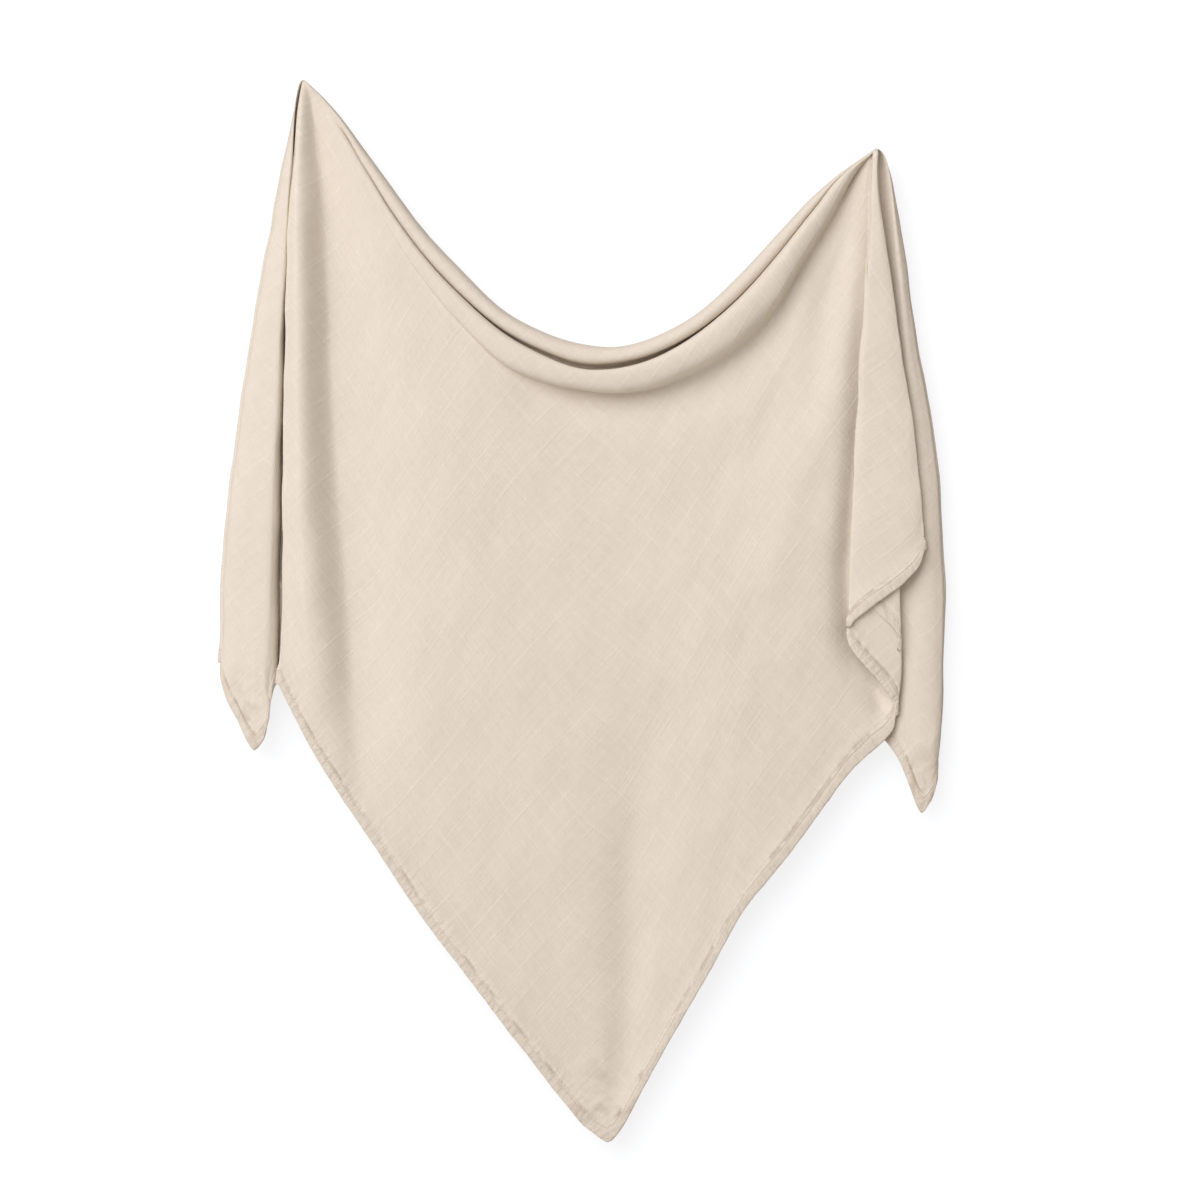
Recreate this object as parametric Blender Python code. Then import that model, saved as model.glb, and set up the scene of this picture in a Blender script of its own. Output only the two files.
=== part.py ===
"""Swaddle blanket: one square of muslin that hangs from two points near its diagonal.

The cloth falls from a ridge that runs from the left hanging point, along the swag, to the right one. The
front half hangs before the ridge and the back half behind it. Beside each hanging point the cloth is pleated
into a tail. Every fall line of the cloth, from the ridge down to the hem, is one column of a grid. The columns
go once round the hem, and the grid gets its thickness to both sides.

Tables are in millimetres. x is to the right of the left hanging point, drop is downwards from it, and depth
is forwards from the back half. The mesh is in metres, with +Z up, the front facing -Y and the left hanging
point at the origin.
"""

import bpy
import numpy as np

MM = 0.001

# Driving dimensions
CLOTH = 1.2  # thickness of the sheet
HEM_CLOTH = 1.7  # thickness of the turned hem
HEM_WIDTH = 10.0
PINCHED_CLOTH = 0.5  # thickness where the folds are pinched together at a hanging point
PINCH_REACH = 45.0  # how far down a tail the pinch lasts
LAYER = 2.4  # pitch of the layers in a tail
FRONT = 5 * LAYER  # depth of the front half, with the back half at depth 0
RIDGE_DEPTH = FRONT / 2
BACK_ROUND = 9.0  # how far down the back half turns over the ridge
LEFT_POINT = {"x": 0.0, "drop": 0.0, "away": -1}
RIGHT_POINT = {"x": 469.0, "drop": 56.6, "away": 1}
STAND = 18.0  # below a hanging point, where the flap's folds stand side by side
NESTED = 28.0  # below it, where they have come forward one over the other
SPREAD = 60.0  # below it, where they have slid fully over each other
STAND_FOLD = 0.8  # radius of a standing fold
FULL_FOLD = 110.0  # below a hanging point, where a fold is fully round
PUFF_RISE = 0.8  # under 1 puts the fullest place of a puffed layer above its middle
LEAST_FOLD = 0.2  # share of its roundness that a fold has close to the point
ROUND = 3.0  # how far the cloth rounds out sideways over a hanging point
DOME = 8.0  # how far below a hanging point the cloth rounds out to its full depth
EVEN_ROW = 3.0  # how far below a hanging point the cloth is still one even round
GATHER = 0.7  # pitch of the fall lines that leave a hanging point
GATHER_DOWN = (0.0, 4.0, 30.0, 120.0)  # below the point
GATHER_SHARE = (0.0, 1.0, 1.0, 0.0)  # how much of that pitch is kept there
PANEL_START = 30.0  # below a hanging point, where the front half starts to take the depth of its fall lines
PANEL_REACH = 0.35  # share of a fall line over which it takes that depth
BACK_REACH = 0.5  # the same for the back half

# The swag: its ridge, the crease under its first roll, and the foot of its second roll, both below the ridge.
SWAG = (
    # x, drop, crease, foot, swell of the second roll
    (0.0, 0.0, 8.0, 30.0, 0.0),
    (20.5, 21.3, 10.0, 34.0, 0.0),
    (39.4, 45.9, 11.5, 40.0, 0.0),
    (58.2, 68.1, 17.0, 48.0, 0.5),
    (95.9, 115.6, 23.8, 56.0, 2.5),
    (133.7, 158.3, 24.6, 52.0, 6.0),
    (170.6, 192.7, 20.5, 48.4, 8.0),
    (208.3, 212.4, 18.9, 42.6, 9.0),
    (246.0, 218.1, 18.0, 40.2, 9.0),
    (275.5, 215.7, 14.8, 39.4, 9.0),
    (307.5, 204.2, 12.8, 42.6, 8.5),
    (338.7, 182.0, 13.1, 49.2, 7.5),
    (369.8, 150.1, 16.0, 55.0, 6.0),
    (399.3, 117.3, 15.0, 54.0, 4.5),
    (423.9, 91.0, 11.5, 42.0, 3.0),
    (451.8, 68.1, 8.0, 32.0, 1.0),
    (469.0, 56.6, 7.0, 28.0, 0.0),
)
ROLL_SWELL = 6.0  # how far the first roll stands before the front half
ROLL_END = 0.12  # share of the swag over which its first roll swells up, from either end
UNDER_ROLL = FRONT + 0.6  # depth of the cloth in the crease under a roll
ROLL_TURN = np.radians((0.0, 35.0, 70.0, 105.0, 140.0, 170.0))  # the rows down the first roll
FOOT_TURN = np.radians((35.0, 75.0, 115.0, 150.0, 175.0))  # the rows down the second roll
BACK_TURN = np.radians((0.0, 18.0, 36.0, 54.0, 72.0, 90.0))  # the rows of the back half over the ridge

# The front half: a fall line starts at a place on the swag, 0 at the left point and 1 at the right one.
FRONT_LINES = (
    # start, hem x, hem drop, depth, bow to the right halfway down, columns up to the next line
    (0.0, -16.0, 503.0, 14.0, 3.0, 1),
    (0.0, -8.0, 519.0, 18.0, 5.0, 1),
    (0.0, 2.5, 540.4, 18.5, 8.0, 1),
    (0.0, 13.9, 560.9, 14.5, 9.0, 1),
    (0.0, 26.0, 578.0, 12.8, 8.0, 1),
    (0.0, 42.0, 603.0, 15.0, 6.0, 1),
    (0.0, 60.7, 630.6, 18.0, 5.0, 2),
    (0.10, 98.4, 687.2, 18.0, 4.0, 3),
    (0.25, 139.4, 742.1, 18.0, 3.0, 3),
    (0.38, 185.3, 802.0, 17.0, 2.0, 2),
    (0.46, 222.0, 849.0, 16.0, 1.0, 2),
    (0.53, 249.3, 869.2, 15.0, 0.0, 1),
    (0.57, 262.0, 857.0, 14.0, 0.0, 2),
    (0.65, 293.6, 799.5, 14.0, 0.0, 2),
    (0.74, 327.5, 740.0, 17.0, -2.0, 3),
    (0.86, 369.0, 669.1, 17.0, -3.0, 3),
    (0.97, 411.6, 615.0, 14.0, -3.0, 1),
    (1.0, 428.9, 591.2, 12.8, -2.0, 1),
    (1.0, 456.7, 557.6, 12.0, 0.0, 1),
    (1.0, 476.0, 541.0, 12.0, 0.0, 1),
)

# The back half, plain, a little inside the outline of the front half.
BACK_LINES = (
    # start, hem x, hem drop, depth, bow, columns up to the next line
    (0.0, -8.0, 486.0, 0.0, 0.0, 1),
    (0.0, 20.0, 527.0, 0.0, 0.0, 2),
    (0.10, 75.0, 604.0, -2.0, 0.0, 3),
    (0.25, 118.0, 665.0, -4.0, 0.0, 3),
    (0.38, 165.0, 731.0, -2.0, 0.0, 2),
    (0.46, 200.0, 780.0, -4.0, 0.0, 2),
    (0.53, 230.0, 822.0, -5.0, 0.0, 1),
    (0.57, 248.0, 806.0, -4.0, 0.0, 2),
    (0.65, 287.0, 752.0, -2.0, 0.0, 2),
    (0.74, 327.0, 697.0, -4.0, 0.0, 3),
    (0.86, 368.0, 642.0, -4.0, 0.0, 3),
    (0.97, 424.0, 568.0, -2.0, 0.0, 1),
    (1.0, 440.0, 550.0, -1.0, 0.0, 1),
    (1.0, 462.0, 530.0, 0.0, 0.0, 1),
)

# The folds of the tails, from the front half round to the back half. side is -1 for a fold at the left and 1
# for one at the right, and 0 for a line inside a layer. before and after count the layers from the back. The
# folds of the flap start side by side, at their stand x and between the two stand depths.
LEFT_TAIL = (
    # name, side, before, after, hem x, hem drop, bow, puff, columns up to the next line, stand x, stand depths
    ("front edge", -1, 5.0, 4.0, -20.5, 495.3, -2.0, 0.0, 3, 0.0, None, None),
    ("inner pleat", 1, 4.0, 3.0, 207.0, 332.0, 0.0, 0.0, 3, 0.0, None, None),
    ("wing hem", 0, 3.0, 3.0, -20.5, 490.0, -3.0, 0.0, 2, 0.0, None, None),
    ("tip", 0, 3.0, 3.0, -39.4, 547.8, -12.0, 0.0, 2, 0.0, None, None),
    ("outer edge", -1, 3.0, 2.0, -67.2, 479.7, -15.0, 0.0, 3, 0.0, None, None),
    ("back pleat", 1, 2.0, 1.0, 196.0, 339.0, 0.0, 0.0, 3, 0.0, None, None),
    ("back edge", -1, 1.0, 0.0, -13.0, 480.0, -2.0, 0.0, 0, 0.0, None, None),
)
RIGHT_TAIL = (
    # the same columns
    ("front edge", 1, 5.0, 6.0, 484.6, 520.7, 0.0, 0.0, 2, 0.0, 12.0, 13.4),
    ("flap left", -1, 6.0, 9.0, 445.3, 447.7, -3.0, 9.0, 4, 2.0, 18.0, 18.0),
    ("flap right", 1, 9.0, 8.0, 508.4, 384.6, 3.0, 0.0, 2, 2.0, 13.5, 13.5),
    ("inner left", -1, 8.0, 7.0, 458.0, 425.0, 0.0, 0.0, 2, 7.8, 18.0, 18.0),
    ("inner right", 1, 7.0, 4.0, 491.5, 476.0, 3.0, 0.0, 2, 8.6, 13.0, 10.0),
    ("inner pleat", -1, 4.0, 3.0, 301.0, 418.0, 0.0, 0.0, 3, 0.0, None, None),
    ("wing hem", 0, 3.0, 3.0, 476.4, 543.7, 0.0, 0.0, 2, 0.0, None, None),
    ("tip", 0, 3.0, 3.0, 505.9, 600.2, 8.0, 0.0, 2, 0.0, None, None),
    ("outer edge", 1, 3.0, 2.0, 519.1, 564.2, 24.0, 0.0, 3, 0.0, None, None),
    ("back pleat", -1, 2.0, 1.0, 255.0, 428.0, 0.0, 0.0, 3, 0.0, None, None),
    ("back edge", 1, 1.0, 0.0, 472.0, 523.0, 2.0, 0.0, 0, 0.0, None, None),
)

TAIL_LEVELS = np.array((0.0, 3.0, 6.0, 10.0, 14.0, 19.0, 25.0, 32.0, 40.0, 49.0, 60.0))
LOWER_ROWS = 9  # rows from the last level down to the hem
TURN = np.radians((0.0, 60.0, 120.0, 180.0))  # the four columns round a fold


def smooth(at, places, values):
    """Values along a smooth curve through the given ones, with the slope at each from its two neighbours."""
    places = np.asarray(places, float)
    values = np.asarray(values, float)
    slopes = np.gradient(values, places)
    span = np.clip(np.searchsorted(places, at, side="right") - 1, 0, len(places) - 2)
    width = places[span + 1] - places[span]
    t = (at - places[span]) / width
    return (
        (1 + 2 * t) * (1 - t) ** 2 * values[span]
        + t * (1 - t) ** 2 * width * slopes[span]
        + t**2 * (3 - 2 * t) * values[span + 1]
        + t**2 * (t - 1) * width * slopes[span + 1]
    )


def ease(t):
    """0 up to 0, 1 from 1 on, and smooth between."""
    t = np.clip(t, 0, 1)
    return t * t * (3 - 2 * t)


def dome_at(down):
    """How far the cloth has reached its full depth, a little way below a hanging point."""
    return np.sqrt(1 - (1 - np.clip(down / DOME, 0, 1)) ** 2)


def lines_between(lines):
    """The rows of a table of fall lines, with its columns up to the next line filled in smoothly."""
    table = np.array(lines, float)
    steps = [i + np.arange(n) / n for i, n in enumerate(table[:-1, -1])]
    places = np.append(np.concatenate(steps), len(table) - 1)
    index = np.arange(len(table))
    columns = [np.interp(places, index, table[:, 0])]
    columns += [smooth(places, index, table[:, k]) for k in range(1, table.shape[1] - 1)]
    return np.stack(columns, axis=1)


def swag_at(start):
    """Ridge x and drop, crease, foot and swell of the swag at a place from 0 to 1."""
    table = np.array(SWAG)
    x = RIGHT_POINT["x"] * start
    return [x] + [smooth(x, table[:, 0], table[:, k]) for k in range(1, 5)]


def levels_of(length, first):
    """Distances down a fall line: the given first rows, then even rows, and last the two edges of the hem."""
    lower = np.linspace(first[-1], length - HEM_WIDTH, LOWER_ROWS)[1:]
    return np.concatenate([first, lower, [length]])


def gather_at(place, down):
    """How far a fall line stands beside the hanging point, so that neighbours keep their pitch near it."""
    return GATHER * place * np.interp(down, GATHER_DOWN, GATHER_SHARE)


def fall_line(x, top, down, hem_x, length, bow, depth):
    """Points x, depth and drop down a fall line from its start to the hem."""
    t = down / length
    return np.stack([x + (hem_x - x) * t + 4 * bow * t * (1 - t), depth, top + down], axis=1)


def front_column(start, hem_x, hem_drop, depth, bow, place):
    """A fall line of the front half: over the first roll, in under it, over the second roll, and down."""
    x, top, crease, foot, swell = swag_at(start)
    length = hem_drop - top
    if start in (0.0, 1.0):
        down = levels_of(length, TAIL_LEVELS)
        panel = (depth - FRONT) * ease((down - PANEL_START) / (PANEL_REACH * length))
        y = RIDGE_DEPTH + (FRONT - RIDGE_DEPTH) * dome_at(down) + panel
        return fall_line(x + gather_at(place, down), top, down, hem_x, length, bow, y)
    roll = crease * (1 - np.cos(ROLL_TURN)) / (1 - np.cos(ROLL_TURN[-1]))
    below = crease + (foot - crease) * (1 - np.cos(FOOT_TURN)) / 2
    down = levels_of(length, np.concatenate([roll, below]))
    full = FRONT - RIDGE_DEPTH + ROLL_SWELL * ease(min(start, 1 - start) / ROLL_END)
    first_roll = np.append(RIDGE_DEPTH + full * np.sin(ROLL_TURN[:-1]), UNDER_ROLL)
    second_roll = UNDER_ROLL + swell * np.sin(FOOT_TURN)
    straight = down[len(roll) + len(below) :]
    panel = UNDER_ROLL + (depth - UNDER_ROLL) * ease((straight - foot) / (PANEL_REACH * length))
    y = np.concatenate([first_roll, second_roll, panel])
    return fall_line(x, top, down, hem_x, length, bow, y)


def back_column(start, hem_x, hem_drop, depth, bow, place):
    """A fall line of the back half: round over the ridge, and down."""
    x, top, _, foot, _ = swag_at(start)
    length = hem_drop - top
    if start in (0.0, 1.0):
        down = levels_of(length, TAIL_LEVELS)
        y = RIDGE_DEPTH * (1 - dome_at(down)) + depth * ease(down / (BACK_REACH * length))
        return fall_line(x + gather_at(place, down), top, down, hem_x, length, bow, y)
    over = BACK_ROUND * (1 - np.cos(BACK_TURN))
    below = np.linspace(BACK_ROUND, foot, len(FOOT_TURN) + 1)[1:]
    down = levels_of(length, np.concatenate([over, below]))
    straight = down[len(over) :]
    y = np.append(RIDGE_DEPTH * (1 - np.sin(BACK_TURN)), depth * ease(straight / (BACK_REACH * length)))
    return fall_line(x, top, down, hem_x, length, bow, y)


def tail_column(point, line):
    """A fall line of a tail, from the even round at the hanging point out into its own fold."""
    x0, top = point["x"], point["drop"]
    down = levels_of(line["drop"] - top, TAIL_LEVELS)
    t = down / (line["drop"] - top)
    nested = ease((down - STAND) / (NESTED - STAND))
    beside = np.interp(down, (0.0, STAND, NESTED, SPREAD), (0.0, 1.0, 1.0, 0.0))
    opened = ease((down - EVEN_ROW) / (STAND - EVEN_ROW))
    lean = (line["x"] - x0) * t + 4 * line["bow"] * t * (1 - t)
    fold_x = line["fold_x"] * np.clip(down / FULL_FOLD, LEAST_FOLD, 1.0)
    open_x = lean + line["stand_x"] * beside + fold_x * nested + line["tip_x"] * (1 - nested)
    round_x = point["away"] * ROUND * np.sin(np.pi * line["row"] / FRONT) * dome_at(down)
    puff = line["puff"] * np.sin(np.pi * t**PUFF_RISE)
    open_y = line["stand_y"] * (1 - nested) + line["nested_y"] * nested + puff
    x = x0 + round_x * (1 - opened) + open_x * opened
    y = line["row"] * (1 - opened) + open_y * opened
    return np.stack([x, RIDGE_DEPTH + (y - RIDGE_DEPTH) * dome_at(down), top + down], axis=1)


def side_turn(side, before, after, turn):
    """How far a fold's column stands inside its edge, and its depth, at a turn from the layer before."""
    radius = (before - after) / 2
    return side * abs(radius) * (np.sin(turn) - 1), (before + after) / 2 + radius * np.cos(turn)


def fold_lines(fold):
    """The columns round a fold, from the layer before it to the layer after it."""
    for turn in TURN if fold["side"] else TURN[:1]:
        nested_x, nested_y = side_turn(fold["side"], fold["before"] * LAYER, fold["after"] * LAYER, turn)
        if fold["stand_before"] is None:
            tip_x, stand_y = LEAST_FOLD * nested_x, nested_y
        elif fold["stand_before"] == fold["stand_after"]:
            tip_x = -STAND_FOLD * np.cos(turn)
            stand_y = fold["stand_before"] - fold["side"] * STAND_FOLD * np.sin(turn)
        else:
            tip_x, stand_y = side_turn(fold["side"], fold["stand_before"], fold["stand_after"], turn)
        yield {
            "x": fold["x"],
            "drop": fold["drop"],
            "bow": fold["bow"],
            "stand_x": fold["stand_x"],
            "fold_x": nested_x,
            "tip_x": tip_x,
            "nested_y": nested_y,
            "stand_y": stand_y,
            "puff": 0.0,
        }


def tail_columns(point, folds):
    """The fall lines of a tail: the columns round each fold, and even ones across the layers between them."""
    names = ("name", "side", "before", "after", "x", "drop", "bow", "puff", "columns")
    names += ("stand_x", "stand_before", "stand_after")
    folds = [dict(zip(names, fold)) for fold in folds]
    rounds = [list(fold_lines(fold)) for fold in folds]
    lines = []
    for number, fold in enumerate(folds):
        lines += rounds[number]
        if number == len(folds) - 1:
            break
        first, last = rounds[number][-1], rounds[number + 1][0]
        for t in np.arange(1, fold["columns"]) / fold["columns"]:
            inner = {key: first[key] * (1 - t) + last[key] * t for key in first}
            inner["puff"] = fold["puff"] * np.sin(np.pi * t)
            lines.append(inner)
    for number, line in enumerate(lines):
        line["row"] = FRONT * (1 - number / (len(lines) - 1))
    return [tail_column(point, line) for line in lines]


def thickness_at(grid, fans):
    """Half the sheet's thickness at each point of the grid: thin at a pinch, thick at the hem."""
    down = np.linalg.norm(grid - grid[:, :1], axis=2)
    pinched = PINCHED_CLOTH + (CLOTH - PINCHED_CLOTH) * ease(down / PINCH_REACH)
    thick = np.where(fans[:, None], pinched, CLOTH)
    thick[:, -2:] = HEM_CLOTH
    return thick / 2


def half_columns(column, table):
    """The fall lines of the front or the back half, from the left tail to the right one."""
    lines = lines_between(table)
    from_left = np.arange(1, len(lines) + 1)
    place = np.where(lines[:, 0] == 0, from_left, np.where(lines[:, 0] == 1, -from_left[::-1], 0))
    return [column(*line, place=p) for line, p in zip(lines, place)]


def sheet_grid():
    """All fall lines round the hem, as columns x rows x (x, depth, drop), and where each starts on the swag."""
    front = half_columns(front_column, FRONT_LINES)
    back = half_columns(back_column, BACK_LINES)
    left = tail_columns(LEFT_POINT, LEFT_TAIL)
    right = tail_columns(RIGHT_POINT, RIGHT_TAIL)
    front_starts = lines_between(FRONT_LINES)[:, 0]
    back_starts = lines_between(BACK_LINES)[:, 0]
    grid = np.array(front + right + back[::-1] + left[::-1])
    starts = np.concatenate([front_starts, np.ones(len(right)), back_starts[::-1], np.zeros(len(left))])
    return grid, starts


def number_points(owner, count, rows):
    """Point numbers, columns x rows: first the shared points of the ridge, then each column's own."""
    shared = owner.max() + 1
    numbers = shared + np.arange(count * (rows - 1)).reshape(count, rows - 1)
    return np.concatenate([owner[:, None], numbers], axis=1)


def grid_faces(numbers):
    """Faces once round the hem. Between columns from one hanging point the first face is a triangle."""
    faces = []
    for here, after in zip(numbers, np.roll(numbers, -1, axis=0)):
        for row in range(len(here) - 1):
            face = (here[row], here[row + 1], after[row + 1], after[row])
            faces.append(face[:3] if face[0] == face[3] else face)
    return faces


def normals_of(points, faces):
    """Area-weighted normals of the points."""
    triangles = np.array([(f[0], f[k], f[k + 1]) for f in faces for k in range(1, len(f) - 1)])
    a, b, c = (points[triangles[:, k]] for k in range(3))
    weighted = np.cross(b - a, c - a)
    normals = np.zeros_like(points)
    for k in range(3):
        np.add.at(normals, triangles[:, k], weighted)
    return normals / np.linalg.norm(normals, axis=1)[:, None]


def blanket_mesh():
    """The sheet with its thickness to both sides, closed along the hem."""
    grid, starts = sheet_grid()
    count, rows = grid.shape[:2]
    # Fall lines that start at the same place of the swag share their first point.
    _, first, owner = np.unique(np.round(starts, 6), return_index=True, return_inverse=True)
    sheet = np.stack([grid[..., 0], RIDGE_DEPTH - grid[..., 1], -grid[..., 2]], axis=2)
    points = np.concatenate([sheet[first, 0], sheet[:, 1:].reshape(-1, 3)])
    numbers = number_points(owner, count, rows)
    faces = grid_faces(numbers)
    half = thickness_at(grid, (starts == 0) | (starts == 1))
    half = np.concatenate([half[first, 0], half[:, 1:].ravel()])
    shift = normals_of(points, faces) * half[:, None]
    vertices = np.concatenate([points + shift, points - shift]) * MM
    inner = len(points)
    shell = faces + [tuple(v + inner for v in reversed(face)) for face in faces]
    hem = numbers[:, -1]
    shell += [(a, a + inner, b + inner, b) for a, b in zip(hem, np.roll(hem, -1))]
    mesh = bpy.data.meshes.new("blanket")
    mesh.from_pydata(vertices.tolist(), [], [tuple(int(v) for v in face) for face in shell])
    mesh.validate()
    return mesh


def muslin():
    material = bpy.data.materials.new("muslin")
    material.use_nodes = True
    shader = material.node_tree.nodes["Principled BSDF"]
    shader.inputs["Base Color"].default_value = (0.73, 0.63, 0.51, 1)
    shader.inputs["Roughness"].default_value = 0.9
    shader.inputs["Metallic"].default_value = 0.0
    return material


def main():
    for obj in list(bpy.data.objects):
        bpy.data.objects.remove(obj)
    blanket = bpy.data.objects.new("blanket", blanket_mesh())
    blanket.data.materials.append(muslin())
    blanket.data.shade_smooth()
    bpy.context.scene.collection.objects.link(blanket)


main()
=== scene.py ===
import bpy
import numpy as np
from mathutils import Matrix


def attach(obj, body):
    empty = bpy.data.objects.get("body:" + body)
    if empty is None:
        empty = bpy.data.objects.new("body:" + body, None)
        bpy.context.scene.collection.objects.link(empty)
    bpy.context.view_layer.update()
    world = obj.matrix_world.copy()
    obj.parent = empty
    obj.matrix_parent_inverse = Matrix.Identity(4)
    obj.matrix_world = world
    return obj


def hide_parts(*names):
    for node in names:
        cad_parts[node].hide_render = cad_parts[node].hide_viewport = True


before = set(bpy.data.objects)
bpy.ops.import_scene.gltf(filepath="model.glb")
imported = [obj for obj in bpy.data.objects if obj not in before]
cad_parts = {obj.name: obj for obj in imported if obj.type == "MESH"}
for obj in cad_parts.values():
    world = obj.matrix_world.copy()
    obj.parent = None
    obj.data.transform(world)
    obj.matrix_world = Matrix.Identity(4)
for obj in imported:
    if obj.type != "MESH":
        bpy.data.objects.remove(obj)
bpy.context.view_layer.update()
mm = 0.001

diagonal = np.sqrt(0.5)  # the flat square is laid with its diagonal upright

# x is to the right of the left hanging point, drop is downwards from it and depth is forwards from the
# back half, all in millimetres. Edge places run round the cloth's edge from its bottom corner: to the left
# they are negative and to the right positive, and the corner at the back is at 2400 either way.
blanket = {
    "side": 1200,
    "cloth": 0.9,
    "hemCloth": 2.4,
    "hemWidth": 10,
    "hemStep": (0.5, 0.7),  # how far inside its width the hem steps down to the cloth, and over how far
    "stitchLine": 8.4,  # in from the edge
    "groove": (0.4, 0.7),  # depth and width, under the stitches
    "pinchedCloth": 0.35,
    "pinchReach": 60,
    "ridgeDepth": 6,
    "leftPoint": {"x": 0, "drop": 0, "start": 0, "flat": (-299, 853)},
    "rightPoint": {"x": 469, "drop": 56.6, "start": 1, "flat": (310, 782)},
    "leave": 70,  # down from a hanging point, where its packed folds have opened out
    "shoulderReach": 18,  # over which a fall line stands off sideways below its start
    "fullFold": 200,
    "foldCorner": 2.4,
    "foldRound": (2, 0.6),  # the radius up to which a fold is round, and how fast it turns square
    "leastFold": 0.2,
    "dome": 6,
    "ripplesReach": (80, 14),  # from the ridge and from the edge, where the ripples are full
    "puckerReach": 22,
    "puckerDepth": 0.7,
    "puckerEdge": 0.5,
    "gather": 5.5,
    "gatherReach": 45,
    "gatherDrops": (0, 8, 30, 120),  # it comes over the first span and goes over the last
    "slopeDrop": 38,  # how far down the plain slope goes beside a hanging point
    "slopeDepth": 6.6,
    "rollStart": 0.1,  # the share of the swag over which its rolls start
    "panelSettle": 0.3,  # the share of a fall line over which the panel takes its depth
    "foldsStart": (6, 14),  # the panel's folds start over the first, below rolls over both
    "backTop": (20, 1.6),  # how far the back's close rows go below the rolls, and their spread
    "backOver": 9,  # the back's quarter round over the ridge
    "backSettle": 0.2,  # the share of a fall line over which the back takes its depth
    "tailTop": (60, 1.5),  # how far down a tail's close rows go, and their spread
    "lateBow": (6, 9, 0.25),  # a bow past the first is deepest lower down, fully so past both
    "hipSettle": 0.3,
    "hipEnd": 20,  # the higher, the closer to the hem a hip ends
    "liftFrom": 0.6,
    "mostSlant": 1.6,
    "topRows": 44,
    "bodyRows": 40,
    "frontColumns": 186,
    "backColumns": 60,
    "foldTurns": 7,
}

# Rows beside the edge, as distances in from it across the hem.
hemRows = np.array(
    (62, 50, 40, 31, 24, 18.5, 14.5, 12, 10.6, 9.9)
    + (9.2, 8.4, 7.6, 6.2, 4.4, 2.8, 1.5, 0.7, 0.2, 0)
)

# The swag between the hanging points. The drops are those of its ridge, of the crease under the first
# roll and of the foot of the second one. The depths are over the ridge's own: the crests of the two rolls,
# the floor of the crease, the panel below, and how far the panel tucks in under the second roll.
swagRows = (
    # x, ridge, crease, foot, opening, roll 1, roll 2, floor, panel, tuck
    (0, 0, 5, 22, 0.3, 6, 6.2, 4, 6.2, 0),
    (16.4, 15.6, 24, 43, 0.4, 6.5, 6.8, 4, 6.8, 0),
    (29.5, 30.3, 42.6, 62, 0.5, 7.5, 7.6, 3, 7.6, 0),
    (45.9, 52.5, 68.9, 88, 0.8, 8.5, 8.4, -0.5, 8.4, 0),
    (70.5, 86.1, 109.1, 128, 1, 9.5, 10.4, -2.5, 8.8, 0),
    (95.1, 119.7, 141.9, 164, 1.2, 10.5, 12, -4, 9, 0),
    (127.9, 155, 177.1, 202, 1.8, 11.5, 13.6, -4.4, 9.2, 0.2),
    (160.7, 187, 204.8, 232.9, 3, 12, 15, -3.8, 9.2, 3),
    (193.5, 205.8, 223, 248.5, 4.2, 12.5, 15.6, -4, 8.4, 6.5),
    (226.3, 216.5, 234.7, 255.8, 5.2, 12.5, 16.8, -4, 7.8, 9),
    (259.1, 218.9, 233.9, 258.3, 5.6, 12.5, 17.6, -4, 7.6, 10.5),
    (291.9, 209.1, 224.4, 252.6, 4.6, 12.5, 18.2, -4, 7.4, 11),
    (324.7, 190.2, 206, 238.6, 2.6, 12, 18.8, -3.5, 7.2, 10.6),
    (357.5, 159.9, 178.8, 219, 1.5, 11, 19, -3.4, 7, 10),
    (390.3, 124.6, 142.7, 188, 1.3, 10, 17.8, -3.2, 7.2, 9.4),
    (414.9, 98.4, 111.5, 146, 1.1, 8.8, 14.8, -2.4, 5.8, 8),
    (439.5, 77.1, 81.6, 107.4, 0.7, 7, 11.8, 0.4, 2.2, 5.4),
    (455.9, 65.6, 67.4, 78.5, 0.4, 6.4, 9.2, 4, 2.4, 3.6),
    (469, 56.6, 58.6, 62, 0.2, 6, 6.6, 6, 5.6, 1),
)

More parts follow.
